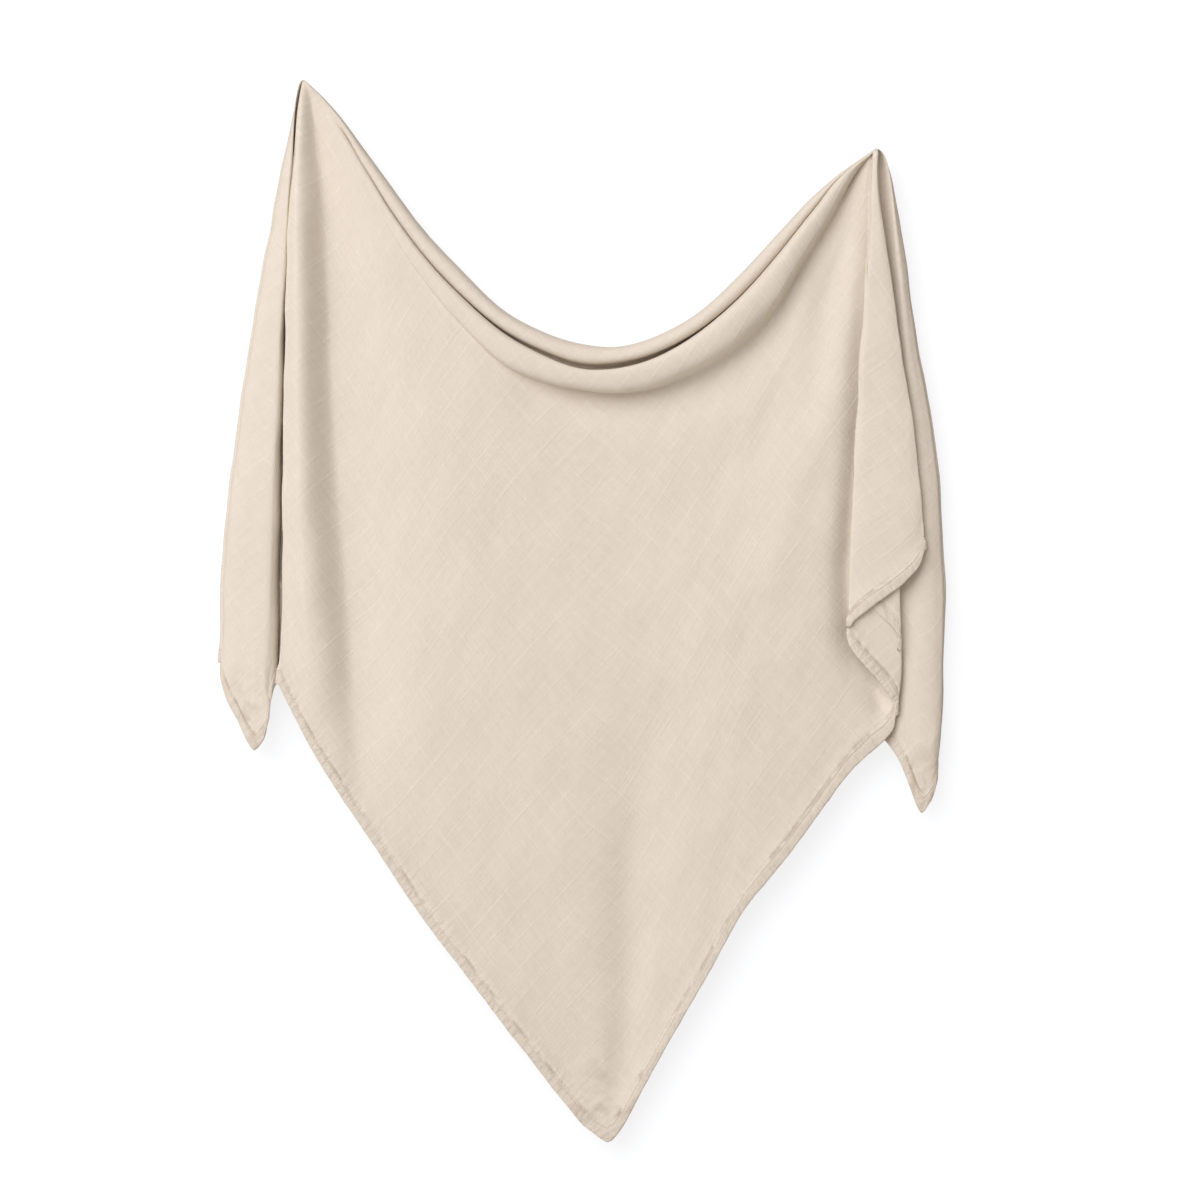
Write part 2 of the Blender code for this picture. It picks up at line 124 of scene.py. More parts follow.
# The section through the swag's two rolls, from the ridge to the panel, as shares of the values above.
# Beside a hanging point it turns into a plain slope.
rollRows = (
    # to the crease, to the foot, opening, slope's drop, its depth, roll 1, roll 2, floor, panel, tuck
    (0, 0, 0, 0, 0, 0, 0, 0, 0, 0),
    (0.05, 0, 0, 0.03, 0.45, 0.42, 0, 0, 0, 0),
    (0.24, 0, 0, 0.07, 0.7, 0.84, 0, 0, 0, 0),
    (0.52, 0, 0, 0.12, 0.86, 1, 0, 0, 0, 0),
    (0.8, 0, -0.1, 0.18, 0.95, 0.92, 0, 0.02, 0, 0),
    (0.97, 0, -0.4, 0.24, 1, 0.66, 0, 0.1, 0, 0),
    (0.99, 0, -0.42, 0.3, 1, 0.28, 0, 0.55, 0, 0),
    (1, 0, -0.14, 0.36, 1, 0.04, 0, 0.95, 0, 0),
    (1, 0, 0.22, 0.42, 1, 0, 0.02, 0.97, 0, 0),
    (1, 0, 0.46, 0.48, 1, 0, 0.25, 0.65, 0, 0),
    (1, 0.02, 0.48, 0.54, 1, 0, 0.64, 0.2, 0, 0),
    (1, 0.12, 0.2, 0.6, 1, 0, 0.91, 0.02, 0, 0),
    (1, 0.3, 0, 0.66, 1, 0, 1, 0, 0, 0),
    (1, 0.53, 0, 0.72, 1, 0, 0.94, 0, 0.06, 0),
    (1, 0.73, 0, 0.77, 1, 0, 0.79, 0, 0.21, 0),
    (1, 0.88, 0, 0.81, 1, 0, 0.56, 0, 0.44, -0.1),
    (1, 0.99, -0.3, 0.85, 1, 0, 0.28, 0, 0.72, -0.5),
    (1, 1.07, -0.85, 0.88, 1, 0, 0.06, 0, 0.94, -0.95),
    (1, 1.25, -0.8, 0.91, 1, 0, 0, 0, 1, -1),
    (1, 1.7, -0.2, 0.95, 1, 0, 0, 0, 1, -0.8),
    (1, 2.4, 0, 1, 1, 0, 0, 0, 1, -0.5),
)
creaseRows = (7, 9)  # of this section, where the cloth that is spare is tucked in

# The edge of the front half, from the left crease round the bottom corner to the curl at the right.
frontEdge = (
    # x, drop
    (-20.5, 495.3), (-9.8, 516.6), (2.5, 540.4), (13.9, 560.4), (33.6, 591),
    (60.7, 631), (79.5, 659.9), (98.4, 687.2), (139.4, 741), (164.8, 774.9),
    (185.3, 801), (216.5, 841), (230.5, 857), (241.5, 865.5), (249.3, 870),
    (256.5, 864), (266.5, 847.9), (280.4, 821.5), (305.9, 775.9), (337, 721.5),
    (348.5, 700), (358.5, 682.5), (378, 657.6), (392.8, 640), (411.6, 615),
    (428.9, 591.2), (443.6, 571.5), (456.7, 557.6), (467, 548.5), (476.5, 540.5),
    (482.6, 532), (484.6, 520.7),
)
frontPlaces = (-461, 445, 0)  # edge places of its two ends and its corner
frontFans = (-306, 348)  # past these the fall lines start at the hanging points
frontReach = 500.0  # edge places up to this belong to the front half
cornerPoint = 14  # the bottom corner is this one, from 0

# Where the fall lines of the front half start on the swag, and how deep its panel hangs.
frontFall = (
    # edge place, start on the swag from 0 to 1, depth of the panel
    (-461, 0, 14),
    (-390, 0, 16),
    (-306, 0, 17),
    (-238, 0.1, 17.5),
    (-170, 0.25, 17.5),
    (-94, 0.38, 17),
    (-43, 0.46, 16),
    (0, 0.53, 15),
    (84, 0.65, 15),
    (159, 0.74, 17),
    (246, 0.86, 17.5),
    (318, 0.97, 16.5),
    (348, 1, 15.5),
    (395, 1, 14.5),
    (445, 1, 14),
)

# At each edge place of the front half: how far its fall lines bow to the right, how far they stand off at
# their top, and how much they follow the left crease.
frontBow = ((-461, -400, -300, -100, 300, 445), (-1.5, 0, 3, 2, -3, 0))
frontShoulder = ((-461, -425, -350), (-5.8, -2, 0))
frontCrease = ((-461, -440, -380), (1, 0.8, 0))

# Soft folds of the front panel, by rows of drop, x, height, width to the left and width to the right. Each
# follows its x down the cloth.
panelFolds = {
    "edgeRidge": (
        (6, -0.5, 0, 3, 3),
        (30, -2, 3, 3, 5),
        (73.8, -4.2, 5.5, 4.5, 8.5),
        (114.8, -4.4, 8, 6, 11.5),
        (180.4, -4, 10, 8, 13),
        (262.4, -3, 11, 10, 15),
        (344, -0.6, 10.5, 12, 17),
        (426, 3.6, 8.5, 12, 22),
        (475, 7, 6, 12, 24),
        (525, 12, 1.5, 12, 24),
        (560, 16, 0, 12, 20),
    ),
    "leftTrough": (
        (3, 3, 0, 2.5, 8),
        (16.4, 6.4, -3, 4.2, 10),
        (41, 10, -5.5, 5.4, 13),
        (73.8, 14.6, -8, 7.6, 18),
        (114.8, 18, -10, 10, 30),
        (180.4, 21.2, -12, 11.8, 46),
        (262.4, 23.6, -12.6, 13.6, 56),
        (344, 29.4, -12.4, 15, 52),
        (426, 37, -12, 15.6, 44),
        (475.6, 40, -11, 15, 38),
        (524.8, 43.5, -8.5, 16, 32),
        (560, 47, -5, 14, 26),
        (600, 51, 0, 12, 20),
    ),
    "besideHem": (
        (600, 54, 0, 5, 9),
        (640, 82, 2.2, 6, 11),
        (690, 116, 2.8, 6.5, 12),
        (741, 155, 2.6, 6.5, 12),
        (775, 181, 1.8, 6, 10),
        (815, 211, 0, 5, 8),
    ),
    "middleTrough": (
        (480, 284, 0, 30, 34),
        (600, 272, -4.5, 22, 26),
        (700, 267, -6, 19, 20),
        (800, 263, -4.6, 14, 14),
        (860, 252, 0, 10, 12),
    ),
    "besideFlap": (
        (76, 461.5, 0, 6, 5),
        (98.4, 461.5, -3, 6, 5),
        (147.6, 461.5, -4.5, 8, 6),
        (213, 457.5, -6, 10, 7),
        (278.8, 454.5, -7.5, 11, 8),
        (344.4, 449.5, -7.8, 10.5, 8),
        (393.6, 446.5, -8.2, 10.5, 8),
        (426.4, 445.5, -8.2, 11, 8),
        (459, 449.5, -9.4, 15, 9),
        (475.6, 457, -10, 14, 8),
        (492, 466.5, -10, 12, 7),
        (508, 473, -8, 9, 6),
        (524, 476, 0, 8, 6),
    ),
}

# The edge of the back half, from the left. Its edge places are counted round by the left.
backEdge = (
    # x, drop
    (-10, 484), (20, 527), (75, 604), (118, 665), (165, 731),
    (200, 782), (222, 812), (230, 822), (238, 815), (287, 748),
    (327, 695), (368, 640), (424, 568), (440, 550), (464, 528),
)
backCorner = 7
backPlaces = (1940, 2880, 2400)  # of its two ends and its corner
backFans = (2010, 2800)
backFall = (
    # edge place, start on the swag, depth
    (1940, 0, -2.6),
    (2010, 0, -2.6),
    (2100, 0.12, -3.5),
    (2200, 0.28, -4.5),
    (2400, 0.53, -5),
    (2590, 0.74, -4.5),
    (2720, 0.9, -4),
    (2800, 1, -3),
    (2880, 1, -2.6),
)

# The folds of the tails, from the front half round to the back half. side is -1 for a fold at the left, 1
# for one at the right and 0 for a line inside a layer. before and after are the depths of the layers that a
# fold joins, and so are tipBefore and tipAfter close to the hanging point. lift is how much further forward
# the cloth comes at its hem, hip how much it swells to the right. columns are those up to the next line.
tailNames = (
    ("side", "before", "after", "hemX", "hemDrop", "place", "bow", "shoulder", "lift", "columns")
    + ("tipX", "tipBefore", "tipAfter", "hip")
)
leftTail = (
    (-1, 17, 2.6, -20.5, 495.3, -461, -1.5, -5.8, 0, 4, -0.6, 12, 6, 0),  # edge of the front half
    (1, 2.6, 1.4, 207, 332, -795, 0, 0, 0, 6, 1, 5.6, 4.8, 0),  # hidden pleat
    (0, 1.4, 1.4, -8, 470, -1110, -1.5, -4.5, 0, 3, -0.2, 4.8, 4.8, 0),  # behind the edge
    (0, 3, 3, -21.6, 491, -1134, -2.6, -5.9, 0, 3, -0.7, 5, 5, 0),
    (0, 8, 8, -22.8, 494.6, -1139, -3, -6.2, 0, 3, -1, 8.4, 8.4, 0),  # the wing's cheek
    (0, 12, 12, -24, 498, -1143, -3.2, -6.2, 0, 3, -1.4, 10.4, 10.4, 0),
    (0, 14.6, 14.6, -25.8, 505, -1150, -3.6, -5.8, 0, 3, -1.9, 11.4, 11.4, 0),
    (0, 16.6, 16.6, -28.4, 524, -1170, -4.6, -5.2, 0, 3, -2.4, 11.6, 11.6, 0),
    (0, 17, 17, -30.8, 537, -1185, -6.6, -4.6, 0.2, 2, -2.6, 11.4, 11.4, 0),
    (0, 16.8, 16.8, -33.8, 543.4, -1192, -8, -4.2, 0.4, 2, -2.8, 11.2, 11.2, 0),
    (0, 16.2, 16.2, -40.2, 549.2, -1200, -9.4, -4, 0.4, 2, -3, 10.6, 10.6, 0),  # the corner
    (0, 15.4, 15.4, -47.4, 539, -1212, -10.6, -3.6, 0.2, 2, -3.2, 10, 10, 0),
    (0, 14.4, 14.4, -53.4, 525, -1227, -11.6, -3.4, 0, 2, -3.3, 9.4, 9.4, 0),
    (0, 12.8, 12.8, -60.2, 512, -1241, -12.4, -3.2, 0, 2, -3.4, 8.6, 8.6, 0),
    (0, 10.2, 10.2, -66, 496, -1258, -13, -3, 0, 3, -3.5, 7.4, 7.4, 0),
    (-1, 6.4, 0.2, -69.3, 478, -1277, -13.6, -3, 0, 5, -3.5, 5.4, 3.6, 0),  # outer edge
    (1, 0.2, -1.2, 196, 339, -1592, 0, 0, 0, 6, 0.5, 3.2, 2.2, 0),
    (-1, -1.2, -2.6, -13, 480, -1940, -2, 0, 0, 0, -2, 1.6, 0.2, 0),
)
rightTail = (
    (1, 14, 15.2, 484.6, 520.7, 445, 0, 0, 0.5, 3, 1.2, 11, 12.8, 7.5),  # the curl
    (0, 15.4, 15.4, 483, 512.5, 453, 0, 0, 1, 3, 0.6, 12.9, 12.9, 5.5),
    (0, 15.6, 15.6, 476.6, 500.8, 466, 1, 0, 1.6, 3, -0.4, 13, 13, 3),
    (0, 15.6, 15.6, 462.5, 484, 487, 2, 0, 2, 3, -1, 13.2, 13.2, 0),
    (0, 15.6, 15.6, 449.5, 469, 508, 2.4, 0, 2, 2, -1.4, 13.4, 13.4, 0),
    (0, 15.6, 15.6, 444.6, 459, 519, 1.6, 0, 1.5, 2, -1.8, 13.6, 13.6, 0),
    (-1, 15.6, 20, 444.8, 448.2, 530, -3, 0, 0.5, 3, -2.8, 13.8, 17.4, 0),  # left edge of the flap
    (0, 20.8, 20.8, 453, 441, 541, -2.4, -0.6, 0.5, 3, -1.6, 17.9, 17.9, 0),
    (0, 21.2, 21.2, 464, 432.4, 556, -1.4, -1.4, 1, 3, -0.4, 18.2, 18.2, 0),
    (0, 21.4, 21.4, 480.5, 420.6, 576, 0.2, -2.4, 1, 3, 0.8, 18.2, 18.2, 0),
    (0, 21.4, 21.4, 493, 410.2, 592, 1.6, -3.2, 1, 3, 1.8, 17.9, 17.9, 0),
    (0, 21, 21, 503, 399, 608, 2.8, -3.8, 0.6, 3, 2.5, 17.4, 17.4, 0),
    (1, 20.4, 18.6, 508.4, 385.6, 622, 4, -4, 0, 4, 2.8, 16.8, 15.8, 0),  # right edge of the flap
    (-1, 18.6, 17.4, 458, 425, 684, 0, 0, 0, 3, -1, 15.8, 14.8, 0),
    (0, 17.6, 17.6, 466, 434, 698, 0.4, 0, 0.3, 3, -0.2, 14.7, 14.7, 0),
    (0, 17.8, 17.8, 484.6, 452.5, 722, 1.6, -1, 0.4, 3, 1.4, 14.5, 14.5, 1),
    (0, 17.6, 17.6, 487.2, 459, 734, 2.6, -1.6, 0.3, 2, 2, 14.3, 14.3, 1.5),
    (1, 17.4, 3.4, 488.2, 468, 742, 3, -1.8, 0, 4, 2.4, 14, 8, 1.5),  # edge of the inner layer
    (-1, 3.4, 2.2, 301, 418, 933, 0, 0, 0, 6, 0, 7.6, 6.4, 0),  # hidden pleat
    (0, 2.4, 2.4, 458, 522, 1108, 1, 1, 0, 4, 2.6, 6.4, 6.4, 0),
    (0, 4, 4, 475, 540.4, 1132, 4, 4, 0.4, 3, 3.2, 8.4, 8.4, 0),
    (0, 6.4, 6.4, 480.5, 546.8, 1140, 6, 6, 0.8, 3, 3.4, 10.6, 10.6, 0),
    (0, 9.6, 9.6, 488.7, 560, 1156, 8, 8, 1, 3, 3.7, 12, 12, 0),
    (0, 12.2, 12.2, 496.9, 581, 1180, 10.5, 10, 1, 3, 4, 12.4, 12.4, 0),
    (0, 13.2, 13.2, 501.4, 594, 1193, 11.8, 11, 1.2, 2, 4.1, 12, 12, 0),
    (0, 13.4, 13.4, 505.9, 600.6, 1200, 13, 12, 1.2, 2, 4.2, 11.4, 11.4, 0),  # the corner
    (0, 12.8, 12.8, 511.2, 594.5, 1208, 14.5, 12.5, 1, 2, 4.3, 10.8, 10.8, 0),
    (0, 11.2, 11.2, 515.6, 586.5, 1217, 15.5, 13.5, 0.8, 2, 4.4, 10, 10, 0),
    (0, 9.6, 9.6, 518.4, 574.5, 1230, 16.5, 14.5, 0.4, 3, 4.4, 9, 9, 0),
    (1, 7, 0.6, 519.6, 560, 1244, 17.5, 15, 0, 5, 4.4, 7.4, 3.4, 0),  # outer edge
    (-1, 0.6, -0.8, 255, 428, 1534, 0, 0, 0, 6, 0, 3, 2, 0),
    (1, -0.8, -2.6, 472, 523, 1920, 2, 2, 0, 0, 2, 1.6, 0.2, 0),
)

# How far the outline of a tail is moved to the right at each drop. It is full at the outer edge and fades
# inwards. The crease shifts are those of the edge of the front half.
leftOutline = {
    "creaseDrops": (0, 8, 16, 41, 74, 115, 180, 300, 345, 394, 426, 460, 478, 492),
    "creaseShifts": (0, 0.9, 1.4, 1.5, 0, -0.8, 0, 1.2, 2.4, 3.6, 3.8, 2.6, 1.5, 0),
    "inner": -20.8,
    "outer": -69.3,
    "fade": 1,
    "drops": (0, 8, 20, 57, 107, 120, 140, 180, 230, 270)
    + (300, 320, 360, 410, 430, 450, 480, 510, 530),
    "shifts": (0.8, 2, 2.2, 1.8, 1.2, 2, 1.4, 2.2, 1.8, 1)
    + (0.4, -1.2, -1.8, -2.8, -2, 0, -0.5, -1, 0),
}
rightOutline = {
    "creaseDrops": (57, 500),
    "creaseShifts": (0, 0),
    "inner": 444,
    "outer": 519.6,
    "fade": 3,
    "drops": (57, 60, 72, 90, 115, 150, 230, 250, 270, 300, 450, 490, 525, 545, 575, 600),
    "shifts": (0, -2.5, -4.5, -4.6, -3.8, -3.8, -4.4, -2.4, -0.4, 0.4, 0.2, 0.8, 1.2, 0.6, -0.6, 0),
}


# From 0 to 1 as t goes from 0 to 1, level at both ends: t squared times 3 less twice t.
def ease(t):
    t = np.clip(t, 0, 1)
    return t * t * (3 - 2 * t)


# A smooth curve through the given values: a cubic over each span, whose slope at each place is that of its
# two neighbours. values may be a table with a row for each place.
def smooth(at, places, values):
    at = np.asarray(at, float)
    places = np.asarray(places, float)
    values = np.asarray(values, float)
    slopes = np.gradient(values, places, axis=0)
    span = np.clip(np.searchsorted(places, at, side="right") - 1, 0, len(places) - 2)
    width = places[span + 1] - places[span]
    t = (at - places[span]) / width
    if values.ndim > 1:
        t, width = t[:, None], width[:, None]
    return (
        (1 + 2 * t) * (1 - t) ** 2 * values[span]
        + t * (1 - t) ** 2 * width * slopes[span]
        + t**2 * (3 - 2 * t) * values[span + 1]
        + t**2 * (t - 1) * width * slopes[span + 1]
    )


# The same for a table whose first column holds the places: one array for each of its other columns.
def smoothRows(at, table):
    table = np.array(table, float)
    return smooth(at, table[:, 0], table[:, 1:]).T[:, :, None]


# Points along an outline, x and drop, for edge places: its own length from the corner is stretched to them.
def alongEdge(outline, corner, ends, places):
    outline = np.array(outline)
    first, last, middle = ends
    steps = np.linalg.norm(np.diff(outline, axis=0), axis=1)
    run = np.concatenate([[0], np.cumsum(steps)])
    run -= run[corner]
    before = middle + (middle - first) * run / -run[0]
    after = middle + (last - middle) * run / run[-1]
    return smooth(places, np.where(run < 0, before, after), outline)


# A place on the flat cloth for each edge place: across and up from the bottom corner, along its diagonal.
def flatEdge(places):
    away = np.abs(places)
    first = np.minimum(away, blanket["side"])
    second = np.maximum(away - blanket["side"], 0)
    across = np.sign(places) * (first - second) * diagonal
    up = (first + second) * diagonal
    return np.stack([across, up], axis=-1)


# How the flat cloth's ridge is shared out: by the swag's own length.
def flatRidge(start):
    fine = np.linspace(0, swagRows[-1][0], 400)
    drop = smoothRows(fine, swagRows)[0, :, 0]
    run = np.concatenate([[0], np.cumsum(np.hypot(np.diff(fine), np.diff(drop)))])
    share = np.interp(start * swagRows[-1][0], fine, run / run[-1])[:, None]
    left = np.array(blanket["leftPoint"]["flat"])
    right = np.array(blanket["rightPoint"]["flat"])
    return left + (right - left) * share


# Rows below the top ones: even ones down the cloth, then those beside the hem. slant is how much longer a
# fall line is than the distance across the hem.
def lowerRows(top, length, slant):
    edge = hemRows[None, :] * slant[:, None]
    first = length - edge[:, 0]
    t = np.arange(1, blanket["bodyRows"] + 1) / (blanket["bodyRows"] + 1)
    body = top[:, None] + (first - top)[:, None] * t
    return np.concatenate([body, length[:, None] - edge], axis=1)


# How much longer each fall line is than the distance across the hem: one over the cosine to its normal.
def slantOf(flatStart, flatEnd, places):
    line = flatStart - flatEnd
    line /= np.linalg.norm(line, axis=1)[:, None]
    upward = np.where(np.abs(places) <= blanket["side"], diagonal, -diagonal)
    normal = np.stack([-np.sign(places) * diagonal, upward], axis=1)
    return np.clip(1 / np.abs((line * normal).sum(axis=1)), 1, blanket["mostSlant"])


# Fall lines of the front or back half that start at a hanging point keep a little apart below it.
def gatherOf(start, x, down):
    reach = blanket["gatherReach"]
    near = np.concatenate([np.linspace(0, 1, (start <= 0).sum()), np.ones((start > 0).sum())])
    left = near * np.clip(1 - x[:, 0] / reach, 0, 1) * (start < 0.5)
    far = np.concatenate([np.ones((start < 1).sum()), np.linspace(1, 0, (start >= 1).sum())])
    right = far * np.clip(1 - (blanket["rightPoint"]["x"] - x[:, 0]) / reach, 0, 1) * (start > 0.5)
    below = np.interp(down, blanket["gatherDrops"], (0, 1, 1, 0))
    return blanket["gather"] * (left - right)[:, None] * below


# How fast a fall line stands off sideways below its start: 1 less a falling exponential.
def shoulderAt(down):
    return 1 - np.exp(-down / blanket["shoulderReach"])


# Where each fall line starts on the swag, from 0 at its left end to 1 at its right one, and how deep it
# hangs. Past the places in fans the lines start at the hanging points.
def fallStarts(places, fall, fans):
    start, deep = smoothRows(places, fall)
    start = np.clip(start[:, 0], 0, 1)
    start[places < fans[0]] = 0
    start[places > fans[1]] = 1
    return start, deep


# The fall lines of the front or back half: straight from the swag to the hem, and gathered at the points.
# upper holds the distances down to their first rows.
def fallLines(start, top, hem, upper, places):
    x0 = (start * swagRows[-1][0])[:, None]
    length = hem[:, 1:] - top
    flatStart, flatEnd = flatRidge(start), flatEdge(places)
    lower = lowerRows(upper[:, -1], length[:, 0], slantOf(flatStart, flatEnd, places))
    down = np.concatenate([upper, lower], axis=1)
    t = down / length
    x = x0 + (hem[:, :1] - x0) * t + gatherOf(start, x0, down)
    half = {"x": x, "drop": top + down, "start": start, "flatStart": flatStart, "flatEnd": flatEnd}
    return half, down, t


# The front half. Down each fall line the section of the rolls is a smooth curve through its rows, and below
# it the panel takes its depth and the soft folds, each a bell across its own line.
def frontHalf():
    places = np.linspace(frontPlaces[0], frontPlaces[1], blanket["frontColumns"])
    start, panel = fallStarts(places, frontFall, frontFans)
    swag = smoothRows(start * swagRows[-1][0], swagRows)
    top, crease, foot, gap, one, two, floor, rest, tuck = swag
    rolled = ease(start / blanket["rollStart"])[:, None]
    rows = np.linspace(0, len(rollRows) - 1, blanket["topRows"])
    shares = smooth(rows, np.arange(len(rollRows)), np.array(rollRows)).T[:, None]
    above, below, opened, slopeDrop, slopeDepth, ofOne, ofTwo, ofFloor, ofRest, ofTuck = shares
    upper = (crease - top) * above + (foot - crease) * below + gap * opened
    upper = blanket["slopeDrop"] * slopeDrop * (1 - rolled) + upper * rolled
    rollDepth = one * ofOne + two * ofTwo + floor * ofFloor + rest * ofRest + tuck * ofTuck
    upperDepth = blanket["slopeDepth"] * slopeDepth * (1 - rolled) + rollDepth * rolled
    upperDepth = blanket["ridgeDepth"] + upperDepth
    hem = alongEdge(frontEdge, cornerPoint, frontPlaces, places)
    half, down, t = fallLines(start, top, hem, upper, places)
    drop = half["drop"]
    x = half["x"] + np.interp(places, *frontBow)[:, None] * np.sin(np.pi * t)
    x += np.interp(places, *frontShoulder)[:, None] * shoulderAt(down) * (1 - t)
    crease = np.interp(drop, leftOutline["creaseDrops"], leftOutline["creaseShifts"])
    x += np.interp(places, *frontCrease)[:, None] * crease
    lower = t[:, blanket["topRows"] :]
    last = upperDepth[:, -1:]
    settled = ease((lower - lower[:, :1]) / blanket["panelSettle"])
    depth = np.concatenate([upperDepth, last + (panel - last) * settled], axis=1)
    atSlope, atRolls = blanket["foldsStart"]
    calm = ease((down - (foot - top) * rolled) / (atSlope + atRolls * rolled))
    for fold in panelFolds.values():
        at, line, height, left, right = np.array(fold).T
        offset = x - np.interp(drop, at, line)
        width = np.where(offset < 0, np.interp(drop, at, left), np.interp(drop, at, right))
        depth = depth + calm * np.interp(drop, at, height, 0, 0) * np.exp(-((offset / width) ** 2))
    return half | {"x": x, "depth": depth}


# The back half: a quarter round over the ridge, and plain below.
def backHalf():
    places = np.linspace(backPlaces[0], backPlaces[1], blanket["backColumns"])
    start, deep = fallStarts(places, backFall, backFans)
    top, _, foot = smoothRows(start * swagRows[-1][0], swagRows)[:3]
    below, spread = blanket["backTop"]
    upper = (foot - top + below) * np.linspace(0, 1, blanket["topRows"]) ** spread
    hem = alongEdge(backEdge, backCorner, backPlaces, places)
    corner = backPlaces[2]
    wrapped = np.where(places > corner, 2 * corner - places, -places)
    half, down, t = fallLines(start, top, hem, upper, wrapped)
    over = np.sqrt(1 - (1 - np.clip(down / blanket["backOver"], 0, 1)) ** 2)
    depth = blanket["ridgeDepth"] * (1 - over) + deep * ease(t / blanket["backSettle"])
    return half | {"depth": depth}


# Where a fold's column stands, at each turn round it: its distance inside the fold's edge, and its depth. A
# wide fold is a flat wall with rounded corners: the sine and the cosine are raised to a power below one.
def sideTurn(side, before, after, turn):
    radius = (before - after) / 2
    roundTo, squareness = blanket["foldRound"]
    power = min(1, roundTo / max(abs(radius), 0.1)) ** squareness
    sine, cosine = np.sin(turn), np.cos(turn)
    away = side * min(abs(radius), blanket["foldCorner"]) * (np.abs(sine) ** power - 1)
    return away, (before + after) / 2 + radius * np.sign(cosine) * np.abs(cosine) ** power


# The fall lines of a tail as rows of a table: those round each fold, and smooth ones over the layers.
def tailLines(folds):
    keys = ("hemX", "hemDrop", "place", "bow", "shoulder", "lift", "tipX", "hip")
    rows = []
    for fold in [dict(zip(tailNames, fold)) for fold in folds]:
        turns = np.linspace(0, np.pi, blanket["foldTurns"]) if fold["side"] else np.zeros(1)
        foldX, depth = sideTurn(fold["side"], fold["before"], fold["after"], turns)
        tipFoldX, tipDepth = sideTurn(fold["side"], fold["tipBefore"], fold["tipAfter"], turns)
        same = [[float(fold[key])] * len(turns) for key in keys]
        rows.append(np.stack(same + [foldX, blanket["leastFold"] * tipFoldX, depth, tipDepth], axis=1))
    isFold = [fold[0] != 0 for fold in folds]
    ends = np.flatnonzero(isFold)
    lines = [rows[0]]
    for first, last in zip(ends, ends[1:]):
        knots = np.stack([rows[first][-1]] + [rows[k][0] for k in range(first + 1, last + 1)])
        counts = [folds[k][tailNames.index("columns")] for k in range(first, last)]
        at = np.concatenate([k + np.arange(n) / n for k, n in enumerate(counts)])[1:]
        lines += [smooth(at, np.arange(len(knots)), knots), rows[last]]
    return np.concatenate(lines)


# A tail. Close to the hanging point the layers are packed one over the other, and each fall line opens out
# from there to its own place at the hem. It bows by a sine, and a strong bow is deepest lower down.
def tail(point, folds, outline):
    lines = tailLines(folds).T[:, :, None]
    hemX, hemDrop, place, bow, shoulder, lift, tipX, hip, foldX, tipFoldX, foldDepth, tipDepth = lines
    x0, top = point["x"], point["drop"]
    count = len(place)
    flatStart = np.repeat(np.array(point["flat"])[None], count, axis=0)
    flatEnd = flatEdge(place[:, 0])
    length = (hemDrop - top)[:, 0]
    slant = slantOf(flatStart, flatEnd, place[:, 0])
    slant = slant * length / np.linalg.norm(flatStart - flatEnd, axis=1)
    reach, spread = blanket["tailTop"]
    levels = reach * np.linspace(0, 1, blanket["topRows"]) ** spread
    levels = np.repeat(levels[None], count, axis=0)
    down = np.concatenate([levels, lowerRows(levels[:, -1], length, slant)], axis=1)
    t = down / length[:, None]
    dome = np.sqrt(1 - (1 - np.clip(down / blanket["dome"], 0, 1)) ** 2)
    left = ease(down / blanket["leave"])
    lateFrom, lateOver, late = blanket["lateBow"]
    lean = (hemX - x0) * t + bow * np.sin(np.pi * t ** (1 + late * ease((bow - lateFrom) / lateOver)))
    lean = lean + shoulder * shoulderAt(down) * (1 - t)
    lean = lean + hip * ease(t / blanket["hipSettle"]) * (1 - t ** blanket["hipEnd"])
    inside = (hemX - outline["inner"]) / (outline["outer"] - outline["inner"])
    shift = np.interp(top + down, outline["drops"], outline["shifts"])
    lean = lean + shift * np.clip(inside, 0, 1) ** outline["fade"]
    isEdge = np.abs(place) < frontReach
    lean = lean + isEdge * np.interp(top + down, outline["creaseDrops"], outline["creaseShifts"])
    full = np.clip(down / blanket["fullFold"], blanket["leastFold"], 1)
    x = x0 + lean + (tipX * dome + tipFoldX) * (1 - left) + foldX * full * left
    lifted = ease((t - blanket["liftFrom"]) / (1 - blanket["liftFrom"]))
    depth = tipDepth * (1 - left) + foldDepth * left + lift * lifted
    depth = blanket["ridgeDepth"] + (depth - blanket["ridgeDepth"]) * dome
    start = np.full(count, point["start"])
    fan = {"x": x, "depth": depth, "drop": top + down, "start": start}
    return fan | {"flatStart": flatStart, "flatEnd": flatEnd}


# The flat place of every point. Down a fall line it goes with the cloth's own length. What the flat cloth
# is longer by is tucked into the crease under the first roll.
def flatPlaces(part):
    points = np.stack([part["x"], part["depth"], part["drop"]], axis=2)
    steps = np.linalg.norm(np.diff(points, axis=1), axis=2)
    whole = np.linalg.norm(part["flatEnd"] - part["flatStart"], axis=1)[:, None]
    spare = whole - steps.sum(axis=1, keepdims=True)
    tucked = np.zeros_like(steps)
    first, last = (int(blanket["topRows"] * row / (len(rollRows) - 1)) for row in creaseRows)
    tucked[:, first:last] = 1 / (last - first)
    inside = ease(np.minimum(part["start"], 1 - part["start"]) / blanket["rollStart"])[:, None]
    steps = steps + tucked * np.maximum(spare, 0) * inside
    run = np.concatenate([np.zeros_like(whole), np.cumsum(steps, axis=1)], axis=1)
    share = (run / run[:, -1:])[:, :, None]
    flat = part["flatStart"][:, None] + (part["flatEnd"] - part["flatStart"])[:, None] * share
    across, up = flat[..., 0], flat[..., 1]
    return np.stack([(up - across) * diagonal, (up + across) * diagonal], axis=2)


